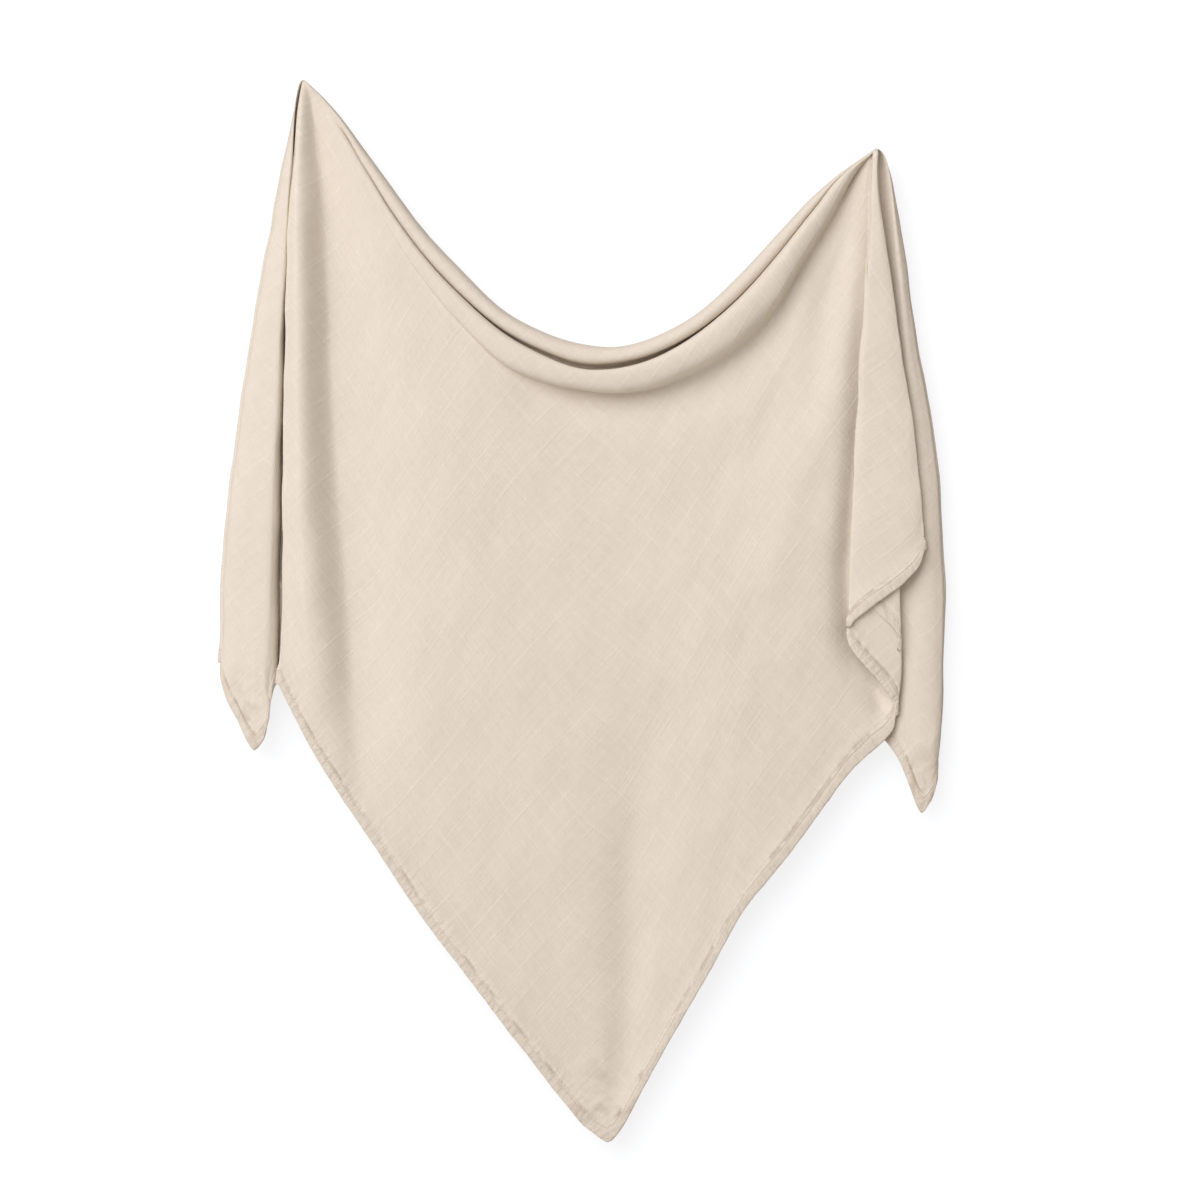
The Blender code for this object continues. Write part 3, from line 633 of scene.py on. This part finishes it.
# The first fold of a tail starts where the edge of the front half beside it stands, and with its rows. Its
# first column is that edge itself, so it is left out.
def joinFold(part, front, column):
    turns = blanket["foldTurns"]
    whole = {key: part[key][:turns].copy() for key in ("x", "depth", "drop")}
    for k, weight in enumerate(np.linspace(1, 0, turns)):
        drop = weight * front["drop"][column] + (1 - weight) * whole["drop"][k]
        for key in ("x", "depth"):
            edge = np.interp(drop, front["drop"][column], front[key][column])
            first = np.interp(drop, whole["drop"][0], whole[key][0])
            part[key][k] = np.interp(drop, whole["drop"][k], whole[key][k]) + weight * (edge - first)
        part["drop"][k] = drop
    return {key: value[1:] for key, value in part.items()}


# Once round the hem: the front half, the right tail, the back half from the right, and the left tail back.
def wholeSheet():
    front, back = frontHalf(), backHalf()
    right = joinFold(tail(blanket["rightPoint"], rightTail, rightOutline), front, -1)
    left = joinFold(tail(blanket["leftPoint"], leftTail, leftOutline), front, 0)
    order = ((front, 1), (right, 1), (back, -1), (left, -1))
    sheet = {}
    for key in ("x", "depth", "drop", "start"):
        sheet[key] = np.concatenate([part[key][::way] for part, way in order])
    flat = np.concatenate([flatPlaces(part)[::way] for part, way in order])
    return sheet, flat


# Area-weighted normals of the points.
def normalsOf(points, triangles):
    a, b, c = (points[triangles[:, k]] for k in range(3))
    weighted = np.cross(b - a, c - a)
    normals = np.zeros_like(points)
    for k in range(3):
        np.add.at(normals, triangles[:, k], weighted)
    return normals / np.maximum(np.linalg.norm(normals, axis=1), 1e-9)[:, None]


# Half the cloth's thickness, from the distance to the edge and down from the ridge: a rounded edge, a
# turned hem that is drawn in under its stitches, and thin cloth where the folds are pinched at a point.
def halfThickness(edge, down, fans):
    hem = blanket["hemCloth"] / 2
    body = blanket["cloth"] / 2
    pinched = blanket["pinchedCloth"] / 2
    pinched = pinched + (body - pinched) * ease(down / blanket["pinchReach"])
    plain = np.where(fans, pinched, body)
    deep, wide = blanket["groove"]
    groove = deep * np.exp(-(((edge - blanket["stitchLine"]) / wide) ** 2))
    rounded = np.sqrt(np.clip(1 - (1 - np.clip(edge / hem, 0, 1)) ** 2, 0, 1))
    before, over = blanket["hemStep"]
    turned = 1 - ease((edge - blanket["hemWidth"] + before) / over)
    return plain + ((hem - groove) * rounded - plain) * turned


rippleWaves = (
    # direction in radians, length, shift in radians, height
    (0.3, 71, 0.4, 0.32),
    (1.2, 53, 1.9, 0.26),
    (2.0, 97, 4.1, 0.35),
    (2.7, 38, 0.7, 0.16),
    (0.8, 31, 2.6, 0.12),
)
puckerWaves = (
    # length, shift in radians, height
    (13.7, 0.2, 0.30),
    (19.3, 2.6, 0.35),
    (29.0, 4.4, 0.35),
    (47.0, 1.1, 0.4),
)


# Small uneven waves all over the cloth, as sums of sines of the flat place.
def ripples(flat):
    a, b = flat[..., 0], flat[..., 1]
    waves = 0
    for turn, length, shift, height in rippleWaves:
        along = a * np.cos(turn) + b * np.sin(turn)
        waves = waves + height * np.sin(2 * np.pi * along / length + shift)
    return waves


# Small waves along the hem, as sums of sines of the place along it, from 1 at the edge to 0 further in.
def puckers(flat, edge):
    along = flat.sum(axis=-1)
    waves = 0
    for length, shift, height in puckerWaves:
        waves = waves + height * np.sin(2 * np.pi * along / length + shift)
    return waves * ease(1 - edge / blanket["puckerReach"])


def putInScene(name, data):
    made = bpy.data.objects.new(name, data)
    bpy.context.collection.objects.link(made)
    return made


def newPiece(name, points, faces):
    mesh = bpy.data.meshes.new(name)
    mesh.from_pydata((points * mm).tolist(), [], faces)
    mesh.validate()
    mesh.shade_smooth()
    return putInScene(name, mesh)


# The fall lines are the columns of a closed grid, and those that start at one place on the ridge share its
# point. The grid gets its waves and then half its thickness to both sides, which meet at the hem.
def makeBlanket():
    sheet, flat = wholeSheet()
    count, rows = sheet["x"].shape
    grid = np.stack([sheet["x"], blanket["ridgeDepth"] - sheet["depth"], -sheet["drop"]], axis=2)
    _, first, owner = np.unique(np.round(sheet["start"], 5), return_index=True, return_inverse=True)
    shared = len(first)
    own = shared + np.arange(count * (rows - 1)).reshape(count, rows - 1)
    numbers = np.concatenate([owner[:, None], own], axis=1)
    points = np.concatenate([grid[first, 0], grid[:, 1:].reshape(-1, 3)])
    flats = np.concatenate([flat[first, 0], flat[:, 1:].reshape(-1, 2)])
    after = np.roll(numbers, -1, axis=0)
    quads = np.stack([numbers[:, :-1], numbers[:, 1:], after[:, 1:], after[:, :-1]], axis=2)
    fan = quads[:, 0, 0] == quads[:, 0, 3]
    quadFaces = np.concatenate([quads[:, 1:].reshape(-1, 4), quads[~fan, 0]])
    fanFaces = quads[fan, 0, :3]
    triangles = np.concatenate([quadFaces[:, [0, 1, 2]], quadFaces[:, [0, 2, 3]], fanFaces])
    side = blanket["side"]
    edge = np.min([flats[:, 0], flats[:, 1], side - flats[:, 0], side - flats[:, 1]], axis=0)
    down = np.linalg.norm(grid - grid[:, :1], axis=2)
    down = np.concatenate([down[first, 0], down[:, 1:].ravel()])
    fromRidge, fromEdge = blanket["ripplesReach"]
    calm = ease(down / fromRidge) * ease(edge / fromEdge)
    normals = normalsOf(points, triangles)
    points = points + normals * (ripples(flats) * calm)[:, None]
    inwards = points[numbers[:, -4]] - points[numbers[:, -1]]
    inwards /= np.linalg.norm(inwards, axis=1)[:, None]
    wave = np.zeros_like(points)
    wave[numbers[:, -len(hemRows) :]] = inwards[:, None]
    pucker = puckers(flats, edge)[:, None]
    points = points + (normals * blanket["puckerDepth"] + wave * blanket["puckerEdge"]) * pucker
    normals = normalsOf(points, triangles)
    atPoint = (sheet["start"] <= 0) | (sheet["start"] >= 1)
    fans = np.concatenate([np.ones(shared, bool), np.repeat(atPoint, rows - 1)])
    half = halfThickness(np.maximum(edge, 0), down, fans)
    isHem = np.zeros(len(points), bool)
    isHem[numbers[:, -1]] = True
    half[isHem] = 0
    shift = normals * half[:, None]
    inner = np.where(isHem, np.arange(len(points)), len(points) + np.cumsum(~isHem) - 1)
    both = np.concatenate([points + shift, (points - shift)[~isHem]])
    faces = [quadFaces, inner[quadFaces][:, ::-1], fanFaces, inner[fanFaces][:, ::-1]]
    piece = newPiece("blanketCloth", both, [face for kind in faces for face in kind.tolist()])
    loops = np.empty(len(piece.data.loops), int)
    piece.data.loops.foreach_get("vertex_index", loops)
    flats = np.concatenate([flats, flats[~isHem]])
    layer = piece.data.uv_layers.new(name="flatCloth")
    layer.data.foreach_set("uv", (flats[loops] * mm).ravel())
    return piece, {"points": points[numbers], "normals": normals[numbers], "half": half[numbers]}


stitches = {
    "length": 2.5,
    "pitch": 3.3,
    "width": 0.34,
    "height": 0.2,
    "sides": 5,
    "rings": ((-0.5, 0.25), (-0.36, 0.85), (0.36, 0.85), (0.5, 0.25)),  # place along it, and thickness
}


# Each stitch is a small spindle along the stitch line, half sunk in the groove, on both faces of the cloth.
def makeStitches(lines):
    row = blanket["topRows"] + blanket["bodyRows"] + list(hemRows).index(blanket["stitchLine"])
    path, normal, half = (lines[key][:, row] for key in ("points", "normals", "half"))
    path = np.concatenate([path, path[:1]])
    normal = np.concatenate([normal, normal[:1]])
    half = np.append(half, half[0])
    run = np.concatenate([[0], np.cumsum(np.linalg.norm(np.diff(path, axis=0), axis=1))])
    count = int(run[-1] / stitches["pitch"])
    middle = (np.arange(count) + 0.5) * run[-1] / count
    ends = [middle - stitches["length"] / 2, middle + stitches["length"] / 2]
    back, front = (np.stack([np.interp(end, run, path[:, k]) for k in range(3)], axis=1) for end in ends)
    up = np.stack([np.interp(middle, run, normal[:, k]) for k in range(3)], axis=1)
    up /= np.linalg.norm(up, axis=1)[:, None]
    lift = np.interp(middle, run, half)[:, None]
    centre = (back + front) / 2
    along = front - back
    across = np.cross(up, along / np.linalg.norm(along, axis=1)[:, None])
    sides = stitches["sides"]
    turns = np.linspace(0, 2 * np.pi, sides, endpoint=False)
    rings = np.array(stitches["rings"])
    u = np.repeat(rings[:, 0], sides)[:, None]
    v = (rings[:, 1:] * np.cos(turns)).reshape(-1, 1) * stitches["width"]
    w = (rings[:, 1:] * np.sin(turns)).reshape(-1, 1) * stitches["height"]
    shapes = []
    for face in (1, -1):
        base = (centre + up * lift * face)[:, None]
        shapes.append(base + along[:, None] * u + across[:, None] * v * face + up[:, None] * w * face)
    corner = np.arange(sides)
    after = (corner + 1) % sides
    walls = []
    for near in range(0, len(u) - sides, sides):
        far = near + sides
        walls.append(np.stack([near + corner, near + after, far + after, far + corner], axis=1))
    offsets = np.arange(2 * count)[:, None, None] * len(u)
    quads = (np.concatenate(walls)[None] + offsets).reshape(-1, 4)
    caps = (np.stack([corner[::-1], len(u) - sides + corner])[None] + offsets).reshape(-1, sides)
    points = np.concatenate(shapes).reshape(-1, 3)
    return newPiece("hemStitches", points, quads.tolist() + caps.tolist())


# A shader socket that takes part in plain sums.
class Wire:
    def __init__(self, tree, socket):
        self.tree = tree
        self.socket = socket

    def sum(self, operation, *parts):
        return node(self.tree, "ShaderNodeMath", {"operation": operation}, dict(enumerate(parts)), 0)

    def __add__(self, other):
        return self.sum("ADD", self, other)

    def __radd__(self, other):
        return self.sum("ADD", other, self)

    def __sub__(self, other):
        return self.sum("SUBTRACT", self, other)

    def __rsub__(self, other):
        return self.sum("SUBTRACT", other, self)

    def __mul__(self, other):
        return self.sum("MULTIPLY", self, other)

    def __rmul__(self, other):
        return self.sum("MULTIPLY", other, self)


def node(tree, kind, settings, sockets, output=0):
    made = tree.nodes.new(kind)
    for name, value in settings.items():
        setattr(made, name, value)
    for name, value in sockets.items():
        if isinstance(value, Wire):
            tree.links.new(value.socket, made.inputs[name])
        else:
            made.inputs[name].default_value = value
    return Wire(tree, made.outputs[output])


# From 0 at the first value to 1 at the second, eased.
def ramp(value, first, second):
    limits = {"Value": value, "From Min": first, "From Max": second, "To Min": 0.0, "To Max": 1.0}
    if first > second:
        limits = {"Value": value, "From Min": second, "From Max": first, "To Min": 1.0, "To Max": 0.0}
    return node(value.tree, "ShaderNodeMapRange", {"interpolation_type": "SMOOTHSTEP"}, limits)


# 1 on a line at the given distance and 0 beyond its half width.
def stripe(value, at, halfWidth):
    off = value - at
    return ramp(off.sum("ABSOLUTE", off), halfWidth, 0.0)


# Noise from 0 to 1 at a place on the cloth.
def noise(place, scale, detail, roughness=0.5):
    sockets = {"Vector": place, "Scale": scale, "Detail": detail, "Roughness": roughness}
    return node(place.tree, "ShaderNodeTexNoise", {}, sockets)


# A place times a number for each axis.
def stretched(place, stretch):
    return node(place.tree, "ShaderNodeVectorMath", {"operation": "MULTIPLY"}, {0: place, 1: stretch})


def mixedColour(share, first, second):
    return node(share.tree, "ShaderNodeMix", {"data_type": "RGBA"}, {0: share, 6: first, 7: second}, 2)


def newMaterial(name, roughness=0.5):
    material = bpy.data.materials.new(name)
    material.use_nodes = True
    shader = material.node_tree.nodes["Principled BSDF"]
    shader.inputs["Roughness"].default_value = roughness
    return material, material.node_tree, shader


# Lengths on the cloth are in metres here, and a scale is in grains a metre.
muslin = {
    "shade": (0.645, 0.56, 0.462, 1),
    "light": (0.735, 0.655, 0.560, 1),
    # painted shade colour, for the line at the hem's turned step and the folds of the crumpled corners
    "seam": (0.46, 0.37, 0.285, 1),
    "roughness": 0.92,
    "sheen": 0.06,
    "sheenRoughness": 0.6,
    "specular": 0.2,
    "check": 0.017,
    "checkLine": (0.0014, 0.0002),  # half widths of its soft edge and of its core
    "checkWander": (14.0, 0.006),  # scale and reach
    "slubs": (420.0, 16.0),  # scale across a thread and along it
    "threads": 1100.0,
    "mottle": 9.0,
    "blotch": 130.0,
    "worn": 45.0,
    # painted shade along the hem's turned step, shown where the worn noise is high, and a fainter dark line
    # along the stitches
    "stepShadeBreaks": (0.46, 0.60),
    "stepShadeLine": (0.0102, 0.0026),  # in from the edge, and half width
    "seamLine": (0.0084, 0.0007),
    "band": (0.0096, 0.0080),
    "crumple": (70.0, 190.0),  # scale across the hem and along it
    "crumpleReach": (0.024, 0.005),
    "tipReach": (0.075, 0.02),
    "tipFolds": 42.0,
    # painted shade in the folds of the crumpled corners, where their noise is high
    "tipCreaseShade": (0.5, 0.62),
    "bump": (0.35, 0.0006),
}


# The muslin. Its colour goes from shade to light by a sum of the slubs, the faint check and the blotches,
# and takes painted shade at the hem's turned step and in the crumpled corners' folds, and is darker along
# the stitch line. Such a sum, weighed anew, is its relief.
def muslinCloth():
    material, tree, shader = newMaterial("muslinWeave", muslin["roughness"])
    shader.inputs["Sheen Weight"].default_value = muslin["sheen"]
    shader.inputs["Sheen Roughness"].default_value = muslin["sheenRoughness"]
    shader.inputs["Specular IOR Level"].default_value = muslin["specular"]
    place = node(tree, "ShaderNodeUVMap", {"uv_map": "flatCloth"}, {}, "UV")
    scale, reach = muslin["checkWander"]
    warp = node(tree, "ShaderNodeTexNoise", {}, {"Vector": place, "Scale": scale, "Detail": 1.0}, "Color")
    shift = node(tree, "ShaderNodeVectorMath", {"operation": "SCALE"}, {0: warp, "Scale": reach})
    woven = node(tree, "ShaderNodeVectorMath", {"operation": "ADD"}, {0: place, 1: shift})
    slubAcross, slubAlong = muslin["slubs"]
    foldAcross, foldAlong = muslin["crumple"]
    fromSides = []
    lines = 0
    slubs = 0
    crumple = 0
    for axis in (0, 1):
        across = node(tree, "ShaderNodeSeparateXYZ", {}, {0: woven}, axis)
        near = across.sum("PINGPONG", across, muslin["check"] / 2)
        lines = ramp(near, *muslin["checkLine"]) + lines
        stretch = (slubAcross, slubAlong, 1.0) if axis == 0 else (slubAlong, slubAcross, 1.0)
        slubs = noise(stretched(place, stretch), 1.0, 3.0, 0.6) + slubs
        across = node(tree, "ShaderNodeSeparateXYZ", {}, {0: place}, axis)
        fromSide = across.sum("PINGPONG", across, blanket["side"] * mm / 2)
        stretch = (foldAcross, foldAlong, 1.0) if axis == 0 else (foldAlong, foldAcross, 1.0)
        nearSide = ramp(fromSide, *muslin["crumpleReach"])
        crumple = noise(stretched(place, stretch), 1.0, 2.0) * nearSide + crumple
        fromSides.append(fromSide)
    mottle = noise(place, muslin["mottle"], 3.0)
    grain = noise(place, muslin["threads"], 1.0)
    worn = noise(place, muslin["worn"], 2.0)
    blotch = noise(place, muslin["blotch"], 3.0, 0.7)
    lines = lines * worn
    edge = fromSides[0].sum("MINIMUM", *fromSides)
    corner = fromSides[0].sum("MAXIMUM", *fromSides)
    # Painted shade: a dark line at the hem's turned step, broken up by noise, and a fainter darker line
    # along the stitch line.
    seam = stripe(edge, *muslin["stepShadeLine"]) * ramp(worn, *muslin["stepShadeBreaks"])
    seam = seam + 0.6 * stripe(edge, *muslin["seamLine"])
    band = ramp(edge, *muslin["band"])
    tip = ramp(corner, *muslin["tipReach"])
    tipFold = noise(place, muslin["tipFolds"], 2.0)
    tone = 0.65 * slubs + 0.3 * mottle + 0.6 * blotch + 0.28 * lines + 0.2 * grain - 0.3 * band - 0.71
    # Painted shade, mixed towards the dark colour: at the hem's step, along the stitch line and in the
    # crumpled corners' folds.
    paintedShade = 0.62 * seam + 0.4 * tip * ramp(tipFold, *muslin["tipCreaseShade"])
    colour = mixedColour(tone, muslin["shade"], muslin["light"])
    tree.links.new(mixedColour(paintedShade, colour, muslin["seam"]).socket, shader.inputs["Base Color"])
    height = 0.8 * lines + 1.4 * slubs + 1.4 * blotch + 0.5 * grain
    height = height + 13.0 * crumple + 30.0 * tip * tipFold - 3.0 * seam
    strength, distance = muslin["bump"]
    relief = {"Height": height, "Strength": strength, "Distance": distance}
    tree.links.new(node(tree, "ShaderNodeBump", {}, relief).socket, shader.inputs["Normal"])
    return material


thread = {
    "shade": (0.66, 0.55, 0.43, 1),
    "light": (0.80, 0.70, 0.58, 1),
    "roughness": 0.8,
    "fibres": 900.0,
}


def threadCloth():
    material, tree, shader = newMaterial("stitchThread", thread["roughness"])
    place = node(tree, "ShaderNodeTexCoord", {}, {}, "Object")
    colour = mixedColour(noise(place, thread["fibres"], 2.0), thread["shade"], thread["light"])
    tree.links.new(colour.socket, shader.inputs["Base Color"])
    return material


studio = {
    "floorDrop": 1.30,
    "backdropGap": 0.017,
    "reach": 5.0,
    "cameraAway": 3.0,
    "frameHeight": 0.984,
    "sensor": 36.0,
    "middle": (0.2427, -0.4264),
    "keyPlace": (-1.8, -3.7, 2.3),
    "keySize": 4.6,
    "keyPower": 258.0,
    "keyColour": (0.99, 1.0, 1.055),
    "skyStrength": 0.35,
    "skyColour": (1.0, 0.93, 0.84, 1),
    "backdropShade": (0.25, 0.26, 0.28, 1),
    "backdropGlow": 0.78,
    "floorShade": (0.80, 0.79, 0.77, 1),
    "floorRoughness": 0.7,
}


def plane(name, corners, material):
    mesh = bpy.data.meshes.new(name)
    mesh.from_pydata(corners, [], [(0, 1, 2, 3)])
    mesh.materials.append(material)
    putInScene(name, mesh)


# The backdrop is seen from its front only, and lets all other light through, so that the back of the cloth
# is lit and seen as well.
def backdropPaint():
    material, tree, shader = newMaterial("backdropPaint")
    tree.nodes.remove(shader)
    plain = node(tree, "ShaderNodeBsdfDiffuse", {}, {"Color": studio["backdropShade"]})
    glow = node(tree, "ShaderNodeEmission", {}, {"Strength": studio["backdropGlow"]})
    paint = node(tree, "ShaderNodeAddShader", {}, {0: plain, 1: glow})
    clear = node(tree, "ShaderNodeBsdfTransparent", {}, {})
    seen = node(tree, "ShaderNodeLightPath", {}, {}, "Is Camera Ray")
    behind = node(tree, "ShaderNodeNewGeometry", {}, {}, "Backfacing")
    mixed = node(tree, "ShaderNodeMixShader", {}, {0: seen * (1 - behind), 1: clear, 2: paint})
    tree.links.new(mixed.socket, tree.nodes["Material Output"].inputs["Surface"])
    return material


def floorPaint():
    material, _, shader = newMaterial("floorPaint", studio["floorRoughness"])
    shader.inputs["Base Color"].default_value = studio["floorShade"]
    return material


# Turns for a lamp that looks along a direction.
def lookAlong(aim):
    tilt = np.arctan2(np.hypot(aim[0], aim[1]), -aim[2])
    return (tilt, 0, np.arctan2(aim[1], aim[0]) - np.pi / 2)


def makeStudio():
    reach = studio["reach"]
    low = -studio["floorDrop"]
    gap = studio["backdropGap"]
    floor = [(-reach, -reach, low), (reach, -reach, low), (reach, reach, low), (-reach, reach, low)]
    plane("floor", floor, floorPaint())
    backdrop = [(-reach, gap, low), (reach, gap, low), (reach, gap, reach), (-reach, gap, reach)]
    plane("backdrop", backdrop, backdropPaint())
    world = bpy.data.worlds.new("softSky")
    world.use_nodes = True
    sky = world.node_tree.nodes["Background"]
    sky.inputs["Color"].default_value = studio["skyColour"]
    sky.inputs["Strength"].default_value = studio["skyStrength"]
    bpy.context.scene.world = world
    middle = (studio["middle"][0], 0, studio["middle"][1])
    light = bpy.data.lights.new("keyLight", "AREA")
    light.size = studio["keySize"]
    light.energy = studio["keyPower"]
    light.color = studio["keyColour"]
    key = putInScene("keyLight", light)
    key.location = studio["keyPlace"]
    key.rotation_euler = lookAlong(np.array(middle) - np.array(studio["keyPlace"]))
    lens = bpy.data.cameras.new("camera")
    lens.sensor_width = studio["sensor"]
    lens.lens = studio["sensor"] * studio["cameraAway"] / studio["frameHeight"]
    camera = putInScene("camera", lens)
    camera.location = (middle[0], -studio["cameraAway"], middle[2])
    camera.rotation_euler = (np.pi / 2, 0, 0)
    bpy.context.scene.camera = camera
    bpy.context.scene.view_settings.view_transform = "Standard"


print("Camera, light and backdrop")
makeStudio()
print("Cloth")
cloth, hemLines = makeBlanket()
cloth.data.materials.append(muslinCloth())
print("Stitches")
seam = makeStitches(hemLines)
seam.data.materials.append(threadCloth())
for piece in (cloth, seam):
    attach(piece, "root")
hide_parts("blanket")
